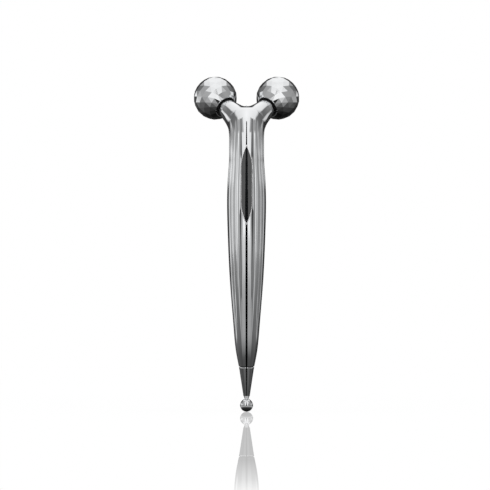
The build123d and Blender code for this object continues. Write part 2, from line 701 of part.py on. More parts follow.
def all_pieces():
    body = fluted_body()
    inside = hollows()
    pieces = {
        "front_shell": front_shell(body, inside),
        "back_shell": back_shell(body, inside),
        "window_lens": window_lens(),
        "window_bezel": window_bezel(),
        "window_gasket": window_gasket(),
        "solar_panel": solar_panel(),
        "panel_tray": panel_tray(),
        "tray_screws": tray_screws(),
        "panel_lead": panel_lead(),
        "contact_strip": contact_strip(),
        "fork_core": fork_core(),
        "core_screws": core_screws(),
        "tip_socket": tip_socket(),
        "tip_seal": tip_seal(),
        "tip_ring": tip_ring(),
        "tip_cone": tip_cone(),
        "tip_ball": tip_ball(),
    }
    for name, piece in roller_pieces().items():
        pieces["right_" + name] = piece
        pieces["left_" + name] = mirrored(piece)
    return pieces


def main():
    os.makedirs("parts", exist_ok=True)
    for name, piece in all_pieces().items():
        solids = Compound(piece) if isinstance(piece, list) else piece
        export_step(solids, f"parts/{name}.step")


if __name__ == "__main__":
    main()
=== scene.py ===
"""Facial toning device: looks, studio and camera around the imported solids.

Laid out as an add-on and run as a script. Metres, +Z up the handle, the window faces -Y.
"""

import math

import bmesh
import bpy
import numpy as np
from bpy.props import FloatProperty, FloatVectorProperty, PointerProperty
from bpy.types import Operator, Panel, PropertyGroup
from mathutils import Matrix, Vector


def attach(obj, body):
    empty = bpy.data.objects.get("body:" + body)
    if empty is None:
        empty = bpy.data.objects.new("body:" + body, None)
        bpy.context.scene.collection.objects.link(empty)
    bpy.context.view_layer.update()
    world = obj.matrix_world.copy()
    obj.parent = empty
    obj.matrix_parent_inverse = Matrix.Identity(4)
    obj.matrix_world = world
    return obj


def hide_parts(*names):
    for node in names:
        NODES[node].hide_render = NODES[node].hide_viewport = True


bl_info = {
    "name": "Facial toning device",
    "version": (1, 0, 0),
    "blender": (4, 5, 0),
    "location": "View3D > Sidebar > Toner",
    "description": "Dresses the solids of a fluted face roller and sets it in a plain studio",
    "category": "Object",
}

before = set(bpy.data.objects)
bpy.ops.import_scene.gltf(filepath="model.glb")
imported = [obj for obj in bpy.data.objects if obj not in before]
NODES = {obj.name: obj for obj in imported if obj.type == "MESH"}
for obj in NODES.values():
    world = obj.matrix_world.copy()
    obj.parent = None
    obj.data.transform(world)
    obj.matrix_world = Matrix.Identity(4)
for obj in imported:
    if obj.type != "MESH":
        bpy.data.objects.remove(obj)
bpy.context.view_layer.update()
MILLIMETRE = 0.001

# ---- the casing's form, in millimetres: a straight handle, a bent neck and two arms ----
HANDLE_STATIONS = np.array((                       # (along the axis, radius)
    (20.2, 3.45), (26.4, 4.65), (37.1, 5.75), (58.6, 7.45), (80.0, 8.42),
    (94.0, 8.7), (105.0, 8.3), (112.0, 7.83), (121.0, 7.75), (130.3, 7.0)))
LOW_END_SLOPE = 0.2
HEAD_SLOPE = -0.12
WIDEST_RADIUS = 8.7
NECK_RADIUS = 7.83
BEND_START = 112.0
FORK_HEIGHT = 127.75
ARM_LENGTH = 16.7
ARM_STATIONS = np.array(((0.0, 5.6), (9.0, 5.3), (ARM_LENGTH, 4.1)))
NECK_BLEND = 8.0            # reach of the blend between neck and arms
CROTCH_BLEND = 3.0          # and between the two arms
WALL = 0.6
WINDOW_LOW = 84.1
WINDOW_HIGH = 118.4
WINDOW_HALF_WIDTH = 2.35
WINDOW_POINT = 9.5          # length of each pointed end
WINDOW_RIM = 0.19           # the casing stops this far outside the window, under the bright frame

# ---- flutes ----
LAND_ANGLE = math.radians(19.2)     # half-angle of the smooth strip down the front
FRONT_FLUTES = 6
BACK_FLUTES = 8
FLUTE_DEPTH = 0.27                  # where the handle is widest
SIDE_SHALLOWING = 0.6               # share of the depth that is missing straight at the side
SIDE_REACH = math.radians(26.0)
FLUTE_START = 33.0
LOW_FADE = 24.0                     # length over which the flutes grow to full depth
TOP_FADE = 7.0                      # and over which they run out
RUNOUT_ANGLE = math.radians(43.5)   # round the bend, at the sides
RUNOUT_SLANT = math.radians(22.0)
GROOVE_DEPTH = 0.10                 # of the line along each edge of the smooth strip
GROOVE_WIDTH = 0.22
GROOVE_GAP = (90.5, 113.0)          # the line stops between these heights, beside the window
GROOVE_TAPER = 3.0                  # and runs out over this length
GROOVE_SHADE_HALF_WIDTHS = (              # of the painted shade line in the groove: (along the axis, half of its angle)
    (60.0, 0.0), (89.8, 0.032), (91.0, 0.0), (112.4, 0.0), (113.4, 0.034), (131.0, 0.010))
GROOVE_SHADE_INSET = 0.010                # the painted shade line's middle lies this angle inside the strip
GROOVE_SHADE_EDGE = (-0.0009, 0.003)      # the painted shade's soft edge, in units of the UV map
# colour of the shade painted into the groove, which is real but shallow
GROOVE_SHADE_COLOUR = (0.01, 0.01, 0.011, 1)
UV_ANGLE = 4.0                      # the angle and the height that the UV map's unit square holds
UV_HEIGHT = 200.0

# ---- grid: columns round the casing, rows along it ----
STRIP_STEPS = 12
FLUTE_STEPS = 8
CROTCH_STEPS = 24
SPLIT_ANGLE = math.radians(44.0)    # round the bend, where the grid divides into the two arms
FORK_ROWS = 44
LONG_ROW = 0.8                      # height of a row below the window
WINDOW_ROW = 0.3                    # and beside and above it
WINDOW_MARGIN = 1.0                 # the fine rows start this far outside the window
RAY = 14.0                          # length of the rays that find the surface
HALVINGS = 30                       # of that length
WELD = 0.002                        # points closer than this are joined

ARM_LEAN = (0.552, 0.669, 0.497)    # sideways, back and up
ARM_DIRECTION = np.array(ARM_LEAN) / math.hypot(*ARM_LEAN)
TILT = math.atan2(ARM_DIRECTION[1], ARM_DIRECTION[2])
SPREAD = math.asin(ARM_DIRECTION[0])
BEND_RADIUS = (FORK_HEIGHT - BEND_START) / math.sin(TILT)
FORK_POINT = np.array((0.0, BEND_RADIUS * (1 - math.cos(TILT)), FORK_HEIGHT))
SIDEWAYS = np.array((1.0, 0.0, 0.0))


# ---- settings ----
class TonerFinishes(PropertyGroup):
    """Colours of the main materials"""
    plating: FloatVectorProperty(
        name="Plating", description="Colour of the plated casing and balls",
        subtype="COLOR", size=3, min=0, max=1, default=(0.80, 0.81, 0.82))
    dark_plating: FloatVectorProperty(
        name="Tip plating", description="Colour of the slightly darker plating on the tip",
        subtype="COLOR", size=3, min=0, max=1, default=(0.72, 0.73, 0.74))
    window_tint: FloatVectorProperty(
        name="Window", description="Body colour of the smoky window",
        subtype="COLOR", size=3, min=0, max=1, default=(0.007, 0.0075, 0.008))
    rubber: FloatVectorProperty(
        name="Rubber", description="Colour of the seals and collars",
        subtype="COLOR", size=3, min=0, max=1, default=(0.012, 0.012, 0.013))


class TonerStudio(PropertyGroup):
    """Camera, lamps and the size of the reflector tent"""
    camera_distance: FloatProperty(
        name="Camera distance", description="From the handle's axis to the camera",
        subtype="DISTANCE", unit="LENGTH", default=3.645)
    camera_height: FloatProperty(
        name="Camera height", description="Height of the level camera above the floor",
        subtype="DISTANCE", unit="LENGTH", default=0.0744)
    lens: FloatProperty(
        name="Lens", description="Focal length in millimetres", unit="CAMERA", default=600.0)
    lamp_power: FloatProperty(
        name="Lamps", description="Power of the overhead lamp", subtype="POWER", unit="POWER", default=9.0)
    tent_radius: FloatProperty(
        name="Tent radius", description="Radius of the ring of reflector panels",
        subtype="DISTANCE", unit="LENGTH", default=2.0)


# ---- materials ----
NOISE_RANGE = (0.3, 0.7)            # where nearly all of a noise's values lie
GLASS_IOR = 1.75
GLASS_FLATTENING = 18.0             # the shading adds this times the square of x, in metres


class Shader:
    """Short names for adding nodes to one node tree."""

    def __init__(self, tree):
        self.tree = tree

    def node(self, kind, **inputs):
        made = self.tree.nodes.new(kind)
        for name, value in inputs.items():
            self.feed(made, name, value)
        return made

    def feed(self, node, name, value):
        """Sets an input, or links it when the value is another node's output. An input is given by its name,
        or by the letter i and its number where two inputs share a name."""
        is_number = name[0] == "i" and name[1:].isdigit()
        socket = node.inputs[int(name[1:]) if is_number else name]
        if isinstance(value, bpy.types.NodeSocket):
            self.tree.links.new(value, socket)
        else:
            socket.default_value = value

    def math(self, operation, *values):
        made = self.tree.nodes.new("ShaderNodeMath")
        made.operation = operation
        for k, value in enumerate(values):
            self.feed(made, f"i{k}", value)
        return made.outputs[0]

    def noise(self, coordinates, scale, detail=2.0, roughness=0.5):
        made = self.node("ShaderNodeTexNoise", Vector=coordinates, Scale=scale, Detail=detail,
                         Roughness=roughness)
        return made.outputs["Fac"]

    def times(self, a, b):
        return self.math("MULTIPLY", a, b)

    def plus(self, a, b):
        return self.math("ADD", a, b)

    def minus(self, a, b):
        return self.math("SUBTRACT", a, b)

    def larger(self, a, b):
        return self.math("MAXIMUM", a, b)

    def mix(self, factor, a, b):
        return self.node("ShaderNodeMix", Factor=factor, A=a, B=b).outputs["Result"]

    def parts(self, vector):
        return self.node("ShaderNodeSeparateXYZ", Vector=vector).outputs

    def length(self, vector):
        made = self.node("ShaderNodeVectorMath", Vector=vector)
        made.operation = "LENGTH"
        return made.outputs["Value"]

    def ramp(self, factor, stops, full=1):
        """A colour ramp; a stop is (position, grey value) or (position, (r, g, b)), and full is the position
        at which the factor is 1."""
        made = self.node("ShaderNodeValToRGB", Fac=factor)
        elements = made.color_ramp.elements
        while len(elements) < len(stops):
            elements.new(0.5)
        for element, (position, value) in zip(elements, stops):
            element.position = position / full
            colour = value if isinstance(value, tuple) else (value, value, value)
            element.color = (*colour, 1.0)
        return made.outputs["Color"]

    def clouded(self, noise, colour, dark, light):
        """The colour, from dark to light times as bright as the noise goes."""
        low, high = NOISE_RANGE
        return self.ramp(noise, [(low, shade_of(colour, dark)), (high, shade_of(colour, light))])

    def spread(self, noise, low, high):
        """A number that follows the noise from low to high."""
        made = self.node("ShaderNodeMapRange", Value=noise)
        ends = zip(("From Min", "From Max", "To Min", "To Max"), (*NOISE_RANGE, low, high))
        for name, value in ends:
            made.inputs[name].default_value = value
        return made.outputs["Result"]

    def above(self, value, low, high):
        """0 below low, 1 above high, smooth in between, and the other way round where low is the larger."""
        made = self.node("ShaderNodeMapRange", Value=value)
        made.interpolation_type = "SMOOTHSTEP"
        made.inputs["From Min"].default_value = low
        made.inputs["From Max"].default_value = high
        return made.outputs["Result"]

    def bump(self, height, strength, distance):
        made = self.node("ShaderNodeBump", Height=height, Strength=strength, Distance=distance)
        return made.outputs["Normal"]

    def surface(self, output):
        out = self.node("ShaderNodeOutputMaterial", Surface=output)
        out.is_active_output = True


def new_material(name):
    material = bpy.data.materials.new(name)
    material.use_nodes = True
    material.node_tree.nodes.clear()
    return material, Shader(material.node_tree)


def shade_of(colour, factor):
    return tuple(min(channel * factor, 1.0) for channel in colour)


def object_coordinates(shader):
    return shader.node("ShaderNodeTexCoord").outputs["Object"]


def plated(name, colour, roughness, wear=0.05):
    """Polished plating: even metal with faint clouding in tone, a little uneven polish and fine grain."""
    material, shader = new_material(name)
    where = object_coordinates(shader)
    cloud = shader.noise(where, scale=160.0, detail=3.0)
    tone = shader.clouded(cloud, colour, 1 - wear, 1 + wear / 2)
    wear_marks = shader.noise(where, scale=420.0, detail=4.0, roughness=0.6)
    polish = shader.spread(wear_marks, roughness * 0.75, roughness * 1.35)
    grain = shader.noise(where, scale=5200.0)
    body = shader.node("ShaderNodeBsdfPrincipled", Metallic=1.0, Roughness=polish)
    shader.feed(body, "Base Color", tone)
    shader.feed(body, "Normal", shader.bump(grain, strength=0.04, distance=0.00001))
    shader.surface(body.outputs["BSDF"])
    return material


def add_painted_groove_shade(material):
    """Paints shade into the groove along each edge of the smooth strip: a dark line, widest beside the window
    and tapering away from it.
    The UV map holds the angle from the front and the distance along the axis."""
    shader = Shader(material.node_tree)
    angle, along, _ = shader.parts(shader.node("ShaderNodeTexCoord").outputs["UV"])
    half_width = shader.ramp(along, [(height / UV_HEIGHT, width / UV_ANGLE)
                                     for height, width in GROOVE_SHADE_HALF_WIDTHS])
    middle = (LAND_ANGLE - GROOVE_SHADE_INSET) / UV_ANGLE
    away = shader.math("ABSOLUTE", shader.minus(angle, middle))
    outside_shade = shader.above(shader.minus(away, half_width), *GROOVE_SHADE_EDGE)
    body = next(node for node in material.node_tree.nodes if node.type == "BSDF_PRINCIPLED")
    metal = body.inputs["Base Color"].links[0].from_socket
    # the painted shade's colour inside the line, the plating's colour outside it
    tone = shader.node("ShaderNodeMix")
    tone.data_type = "RGBA"
    factor, dark, light = (tone.inputs[k] for k in (0, 6, 7))       # a colour mix's own sockets
    dark.default_value = GROOVE_SHADE_COLOUR
    for output, socket in ((outside_shade, factor), (metal, light), (tone.outputs[2], body.inputs["Base Color"])):
        shader.tree.links.new(output, socket)


def moulded(name, colour, roughness):
    """Moulded plastic or rubber: fine surface grain and slight unevenness of tone and sheen."""
    material, shader = new_material(name)
    where = object_coordinates(shader)
    cloud = shader.noise(where, scale=220.0)
    tone = shader.clouded(cloud, colour, 0.8, 1.25)
    sheen = shader.spread(shader.noise(where, scale=900.0, detail=3.0), roughness * 0.85, roughness * 1.15)
    grain = shader.noise(where, scale=2600.0, detail=3.0)
    body = shader.node("ShaderNodeBsdfPrincipled", Roughness=sheen)
    shader.feed(body, "Base Color", tone)
    shader.feed(body, "Normal", shader.bump(grain, strength=0.25, distance=0.00002))
    shader.surface(body.outputs["BSDF"])
    return material


def window_glass(name, colour):
    """Smoky hard plastic over a dark cell: glossy, nearly black, and shaded as if a little flatter across."""
    material, shader = new_material(name)
    where = object_coordinates(shader)
    cloud = shader.noise(where, scale=90.0)
    tone = shader.clouded(cloud, colour, 0.7, 1.4)
    polish = shader.spread(shader.noise(where, scale=500.0, detail=3.0), 0.02, 0.05)
    x = shader.parts(where)["X"]
    flattening = shader.times(shader.times(x, x), GLASS_FLATTENING)
    body = shader.node("ShaderNodeBsdfPrincipled", Roughness=polish, IOR=GLASS_IOR)
    shader.feed(body, "Base Color", tone)
    shader.feed(body, "Normal", shader.bump(flattening, strength=1.0, distance=1.0))
    shader.surface(body.outputs["BSDF"])
    return material


def finish(node, material):
    """Gives every slot of a CAD node the same material."""
    for slot in NODES[node].material_slots:
        slot.material = material


def both(name):
    return ("right_" + name, "left_" + name)


# ---- the casing as a field: negative inside, zero on the surface ----
def smoothest_slopes(x, y, first, last):
    """Slopes s at the stations of a cubic curve whose neighbouring spans, of length h, agree in curvature:
    s[i-1] / h[i-1] + 2 s[i] / h[i-1] + 2 s[i] / h[i] + s[i+1] / h[i] = 3 (rise[i-1] + rise[i]), where a
    rise is a span's dy / h^2. The first and the last slope are given."""
    h = np.diff(x)
    inner = np.arange(1, len(x) - 1)
    rows = np.zeros((len(x), len(x)))
    rows[0, 0] = rows[-1, -1] = 1
    rows[inner, inner - 1] = 1 / h[:-1]
    rows[inner, inner] = 2 / h[:-1] + 2 / h[1:]
    rows[inner, inner + 1] = 1 / h[1:]
    rise = np.diff(y) / h**2
    return np.linalg.solve(rows, np.concatenate([[first], 3 * (rise[:-1] + rise[1:]), [last]]))


def handle_radius(along):
    """A cubic between each two stations, h apart, with the stations' radii r and the smoothest slopes s:
    (1 - t)^2 ((1 + 2t) r[k] + t h s[k]) + t^2 ((3 - 2t) r[k+1] + (t - 1) h s[k+1]) for t from 0 to 1."""
    height, radius = HANDLE_STATIONS.T
    slope = smoothest_slopes(height, radius, LOW_END_SLOPE, HEAD_SLOPE)
    k = np.clip(np.searchsorted(height, along) - 1, 0, len(height) - 2)
    span = height[k + 1] - height[k]
    t = np.clip((along - height[k]) / span, 0, 1)
    near = (1 + 2 * t) * radius[k] + t * span * slope[k]
    far = (3 - 2 * t) * radius[k + 1] + (t - 1) * span * slope[k + 1]
    return (1 - t) ** 2 * near + t**2 * far


def blended(a, b, reach):
    """The smaller of two fields, lowered where they are nearly equal:
    min(a, b) - max(1 - |a - b| / reach, 0)^3 reach / 6."""
    overlap = np.clip(1 - np.abs(a - b) / reach, 0, None)
    return np.minimum(a, b) - overlap**3 * reach / 6


def arm_field(points):
    """Distance from the arm's axis less the radius, a parabola along the arm; a ball closes its root."""
    offset = points - FORK_POINT
    along = offset @ ARM_DIRECTION
    across = np.linalg.norm(offset - along[..., None] * ARM_DIRECTION, axis=-1)
    radius = np.polyval(np.polyfit(*ARM_STATIONS.T, 2), along)
    return np.where(along < 0, np.hypot(across, along) - ARM_STATIONS[0, 1], across - radius)


def axis_coordinates(points):
    """Distance along the bent axis, the two offsets from it, x and towards the back, and the angle bent."""
    x, y, z = np.moveaxis(points, -1, 0)
    bent = z > BEND_START
    turn = np.clip(np.where(bent, np.arctan2(z - BEND_START, BEND_RADIUS - y), 0), 0, TILT)
    along = np.where(bent, BEND_START + BEND_RADIUS * turn, z)
    back = np.where(bent, BEND_RADIUS - np.hypot(BEND_RADIUS - y, z - BEND_START), y)
    return along, x, back, turn


def runout(from_front):
    """Where the flutes end along the axis: a plane that leans more than the axis does cuts them off."""
    arm = BEND_RADIUS + NECK_RADIUS * np.cos(from_front)
    slant = np.arcsin(BEND_RADIUS * math.sin(RUNOUT_SLANT) / arm)
    return BEND_START + BEND_RADIUS * (RUNOUT_ANGLE + RUNOUT_SLANT - slant)


def flute_hollow(along, from_front):
    """Depth below the smooth form: 4 u (1 - u) at the share u of each flute's width, which grows shallower
    and so narrower to a point at both ends and is shallower at the handle's sides, and the strip's lines."""
    front = (from_front - LAND_ANGLE) / (math.pi / 2 - LAND_ANGLE) * FRONT_FLUTES
    back = (from_front / (math.pi / 2) - 1) * BACK_FLUTES
    across = np.where(from_front < math.pi / 2, front, back) % 1
    scallop = np.where(from_front < LAND_ANGLE, 0, 4 * across * (1 - across))
    reach = np.minimum((along - FLUTE_START) / LOW_FADE, (runout(from_front) - along) / TOP_FADE)
    radius = handle_radius(along)
    fade = np.clip(reach, 0, 1)
    shallow = 1 - SIDE_SHALLOWING * np.exp(-(((from_front - math.pi / 2) / SIDE_REACH) ** 2))
    scallop = np.clip(scallop + fade - 1, 0, None) * shallow
    low, high = GROOVE_GAP
    outside_gap = np.clip(np.maximum(low - along, along - high) / GROOVE_TAPER, 0, 1)
    groove = np.exp(-(((from_front - LAND_ANGLE) * radius / GROOVE_WIDTH) ** 2))
    return FLUTE_DEPTH * (radius / WIDEST_RADIUS) ** 2 * scallop + GROOVE_DEPTH * groove * outside_gap * fade


def casing_field(points):
    """The bent tube with a round head, blended with both arms, less the flutes:
    blended(distance from the axis - radius, blended(right arm, left arm)) + hollow."""
    along, x, back, turn = axis_coordinates(points)
    from_axis = np.where(turn < TILT, np.hypot(x, back), np.linalg.norm(points - FORK_POINT, axis=-1))
    arms = blended(arm_field(points), arm_field(points * (-1, 1, 1)), CROTCH_BLEND)
    smooth = blended(from_axis - handle_radius(along), arms, NECK_BLEND)
    return smooth + flute_hollow(along, np.arctan2(np.abs(x), -back))


def cast(centres, directions):
    """Where rays from inside leave the casing, by halving the distance along all rays at once."""
    low = np.zeros(directions.shape[:-1])
    high = low + RAY
    for _ in range(HALVINGS):
        middle = (low + high) / 2
        inside = casing_field(centres + directions * middle[..., None]) < 0
        low = np.where(inside, middle, low)
        high = np.where(inside, high, middle)
    return centres + directions * low[..., None]


def axis_frame(along):
    """Points on the bent axis, with the directions to the back and up the axis."""
    turn = np.clip((along - BEND_START) / BEND_RADIUS, 0, None)
    zero = np.zeros_like(along)
    height = np.where(along < BEND_START, along, BEND_START + BEND_RADIUS * np.sin(turn))
    centre = np.stack([zero, BEND_RADIUS * (1 - np.cos(turn)), height], axis=-1)
    back = np.stack([zero, np.cos(turn), -np.sin(turn)], axis=-1)
    return centre, back, np.stack([zero, np.sin(turn), np.cos(turn)], axis=-1)


def handle_grid(angles):
    """Rays at the angles from the front, square to the axis, from the lower end to where the arms divide."""
    split = BEND_START + BEND_RADIUS * SPLIT_ANGLE
    low = HANDLE_STATIONS[0, 0]
    window = np.arange(WINDOW_LOW - WINDOW_MARGIN, WINDOW_HIGH + WINDOW_MARGIN, WINDOW_ROW)
    lower = np.linspace(low, window[0], int((window[0] - low) / LONG_ROW), endpoint=False)
    upper = np.linspace(window[-1] + WINDOW_ROW, split, int((split - window[-1]) / WINDOW_ROW))
    centre, back, _ = axis_frame(np.concatenate([lower, window, upper]))
    directions = np.sin(angles)[:, None] * SIDEWAYS - np.cos(angles)[:, None] * back[:, None]
    return cast(centre[:, None], directions)


def arm_grid(angles):
    """Rings that start as the right half of the neck's last section, closed over the crotch in the middle
    plane, and open out, as they move along the arm, into circles square to it. Angles below 0 and above
    180 degrees belong to the crotch side."""
    share = np.linspace(0, 1, FORK_ROWS)[:, None]
    turn = SPLIT_ANGLE + (TILT - SPLIT_ANGLE) * share[:, 0]
    start, back, up = axis_frame(BEND_START + BEND_RADIUS * turn)
    end = FORK_POINT + ARM_DIRECTION * ARM_LENGTH
    centre = (1 - share) * start[0] + share * end
    outer = np.cos(SPREAD * share) * SIDEWAYS - np.sin(SPREAD * share) * up
    lean = np.arcsin(math.cos(SPREAD) * share)
    inner = np.cos(lean) * up - np.sin(lean) * SIDEWAYS
    across = np.sin(angles)[:, None]
    sides = np.where(across >= 0, across * outer[:, None], -across * inner[:, None])
    return cast(centre[:, None], sides - np.cos(angles)[:, None] * back[:, None])


def window_faces(corners):
    """True for faces whose middle lies in the window's outline: straight sides that close in two arcs to a
    point at each end."""
    x, _, z = np.moveaxis(corners.mean(axis=1), -1, 0)
    arc = (WINDOW_POINT**2 + WINDOW_HALF_WIDTH**2) / (2 * WINDOW_HALF_WIDTH)
    low, high = WINDOW_LOW + WINDOW_POINT, WINDOW_HIGH - WINDOW_POINT
    rise = np.maximum(np.maximum(low - z, z - high), 0)
    side = np.sqrt(np.clip((arc + WINDOW_RIM) ** 2 - rise**2, 0, None)) - (arc - WINDOW_HALF_WIDTH)
    return np.abs(x) < side


def grid_faces(rows, columns):
    """The quads between neighbouring points of a grid, as rows of four point numbers."""
    index = np.arange(rows * columns).reshape(rows, columns)
    corners = index[:-1, :-1], index[:-1, 1:], index[1:, 1:], index[1:, :-1]
    return np.stack(corners, axis=-1).reshape(-1, 4)


def half_casing(name, handle_angles, fork_angles, has_window):
    """One half of the casing: the right side's two grids and their mirror images, joined and given a wall.
    The UV map holds the angle, which is 0 all over the arms, and the distance along the axis."""
    points, faces, marks, count = [], [], [], 0
    grids = ((handle_grid(handle_angles), handle_angles), (arm_grid(fork_angles), 0 * fork_angles))
    for grid, angles in grids:
        quads = grid_faces(*grid.shape[:2])
        flat = grid.reshape(-1, 3)
        along = axis_coordinates(flat)[0]
        angle = np.tile(angles, len(grid))
        if has_window:
            quads = quads[~window_faces(flat[quads])]
        for side, order in ((1, quads), (-1, quads[:, ::-1])):
            points.append(flat * (side, 1, 1))
            faces.append(order + count)
            marks.append(np.stack([angle / UV_ANGLE, along / UV_HEIGHT], axis=-1))
            count += len(flat)
    faces = np.concatenate(faces)
    made = mesh_object(name, np.concatenate(points) * MILLIMETRE, faces)
    uv = made.data.uv_layers.new(name="angle_and_height")
    uv.data.foreach_set("uv", np.concatenate(marks)[faces].ravel())
    weld_and_mark_rims(made.data)
    wall = made.modifiers.new("wall", "SOLIDIFY")
    wall.thickness = WALL * MILLIMETRE
    wall.offset = -1
    return made


def mesh_object(name, points, faces):
    """A smooth-shaded object of its own from points in metres and faces as rows of point numbers."""
    mesh = bpy.data.meshes.new(name)
    mesh.from_pydata(points, [], faces.tolist())
    mesh.shade_smooth()
    made = bpy.data.objects.new(name, mesh)
    bpy.context.scene.collection.objects.link(made)
    return made


def weld_and_mark_rims(mesh):
    """Joins the grids where they meet, drops what no face uses and keeps the open edges crisp."""
    work = bmesh.new()
    work.from_mesh(mesh)
    bmesh.ops.remove_doubles(work, verts=work.verts, dist=WELD * MILLIMETRE)
    unused = [vert for vert in work.verts if not vert.link_faces]
    bmesh.ops.delete(work, geom=unused, context="VERTS")
    for edge in work.edges:
        edge.smooth = len(edge.link_faces) == 2
    work.to_mesh(mesh)
    work.free()


# ---- pieces ----
class TONER_OT_casing(Operator):
    """Make the two halves of the fluted, forked casing with their plating"""
    bl_idname = "toner.casing"
    bl_label = "Casing"

    def execute(self, context):
        colours = context.scene.toner_finishes
        plating = plated("casing_plating", tuple(colours.plating), roughness=0.05)
        # paints shade as a dark line in the groove along each edge of the smooth strip
        add_painted_groove_shade(plating)
        quarter = math.pi / 2
        strip = np.linspace(0, LAND_ANGLE, STRIP_STEPS, endpoint=False)
        front = np.concatenate([strip, np.linspace(LAND_ANGLE, quarter, FRONT_FLUTES * FLUTE_STEPS + 1)])
        back = np.linspace(quarter, 2 * quarter, BACK_FLUTES * FLUTE_STEPS + 1)
        crotch = np.linspace(0, quarter, CROTCH_STEPS, endpoint=False)
        halves = (("front", front, np.concatenate([crotch - quarter, front])),
                  ("back", back, np.concatenate([back[:-1], crotch + 2 * quarter, [3 * quarter]])))
        for side, handle_angles, fork_angles in halves:
            casing = half_casing(side + "_casing", handle_angles, fork_angles, side == "front")
            casing.data.materials.append(plating)
            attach(casing, "handle")
            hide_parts(side + "_shell")
        return {"FINISHED"}


class TONER_OT_window(Operator):
    """Finish the window, its frame and its gasket"""
    bl_idname = "toner.window"
    bl_label = "Window"

    def execute(self, context):
        colours = context.scene.toner_finishes
        finish("window_lens", window_glass("smoky_glass", tuple(colours.window_tint)))
        finish("window_bezel", plated("bezel_plating", (0.94, 0.94, 0.95), roughness=0.30))
        finish("window_gasket", moulded("gasket_rubber", tuple(colours.rubber), roughness=0.7))
        return {"FINISHED"}


class TONER_OT_rollers(Operator):
    """Finish the faceted balls, their seals and the arms' collars"""
    bl_idname = "toner.rollers"
    bl_label = "Roller balls"

    def execute(self, context):
        colours = context.scene.toner_finishes
        plating = plated("ball_plating", tuple(colours.plating), roughness=0.06)
        rubber = moulded("seal_rubber", tuple(colours.rubber), roughness=0.6)
        for node in both("ball_skin"):
            finish(node, plating)
        for node in both("ball_seal") + both("arm_collar"):
            finish(node, rubber)
        return {"FINISHED"}


class TONER_OT_tip(Operator):
    """Finish the cone, its lip and seal, and the small ball"""
    bl_idname = "toner.tip"
    bl_label = "Tip"

    def execute(self, context):
        colours = context.scene.toner_finishes
        finish("tip_cone", plated("cone_plating", tuple(colours.dark_plating), roughness=0.10))
        finish("tip_ball", plated("tip_ball_plating", tuple(colours.plating), roughness=0.05))
        finish("tip_ring", plated("lip_plating", tuple(colours.plating), roughness=0.08))
        finish("tip_seal", moulded("tip_seal_rubber", tuple(colours.rubber), roughness=0.7))
        return {"FINISHED"}


class TONER_OT_inside(Operator):
    """Finish the pieces inside the casing and the balls"""
    bl_idname = "toner.inside"
    bl_label = "Inner pieces"

    def execute(self, context):
        steel = plated("turned_steel", (0.62, 0.61, 0.60), roughness=0.22)
        alloy = plated("cast_alloy", (0.50, 0.50, 0.51), roughness=0.45, wear=0.12)
        brass = plated("brass", (0.78, 0.58, 0.28), roughness=0.25)
        black = moulded("black_plastic", (0.02, 0.02, 0.022), roughness=0.45)
        cream = moulded("bush_plastic", (0.78, 0.76, 0.70), roughness=0.4)
        cell = window_glass("cell_glass", (0.01, 0.012, 0.03))
        sheath = moulded("lead_sheath", (0.55, 0.03, 0.03), roughness=0.4)
        for node in both("shaft") + both("retaining_clip") + ("core_screws", "tray_screws"):
            finish(node, steel)
        for node in both("bearing_bush") + both("thrust_washer"):
            finish(node, cream)
        for node in both("ball_hub") + ("panel_tray",):
            finish(node, black)
        finish("fork_core", alloy)
        finish("tip_socket", brass)
        finish("contact_strip", brass)
        finish("solar_panel", cell)
        finish("panel_lead", sheath)
        return {"FINISHED"}


# ---- studio ----
AMBIENT = 0.65                      # level light on everything that isn't metal or glass
FLOOR_REACH = 6.0
FLOOR_DEPTH = 0.00002               # below the tip
FLOOR_GREY = (0.85, 0.85, 0.85, 1)
FLOOR_GLOW = ((0.0, 0.88), (0.5, 1.0))          # (distance in metres, share of plain white)
MIRROR_REACH = 1.5
MIRROR = (                          # (distance in metres, share of the floor's light that is a reflection)
    (0.0, 0.48), (0.53, 0.50), (0.82, 0.50), (1.06, 0.32), (1.18, 0.12), (1.28, 0.0))
TENT_WALL = 0.5                     # height of the tent's straight wall and rise of its arch, over its radius
TENT_ARCH = 0.6
ARCH_ROWS = 24
CARD_RINGS = 40
CARD_COLUMNS = 96
TIP_CARD_RINGS = 12
TIP_CARD_COLUMNS = 48
CARD_DEPTH = 0.05                   # below the floor, where the tent starts
TIP_CARD_RADIUS = 0.018
TIP_CARD_DEPTH = 0.0002
FLAG_DISTANCE = 0.12
FLAG_OUTLINE = np.array((           # (height, half-width)
    (-0.049, 0.025), (-0.02, 0.025), (0.01, 0.019), (0.08, 0.0125), (0.12, 0.0104),
    (0.20, 0.0100), (0.33, 0.012), (0.60, 0.019)))
LAMPS = (                           # (name, place, size, share of the power)
    ("lamp_top", (0, -0.2, 1.3), 1.2, 1.0),
    ("lamp_left", (-1.0, -0.8, 0.5), 0.7, 0.35),
    ("lamp_right", (1.0, -0.8, 0.5), 0.7, 0.25))
LAMP_TARGET = Vector((0, 0, 0.07))
CAMERA_ASIDE = -0.0007

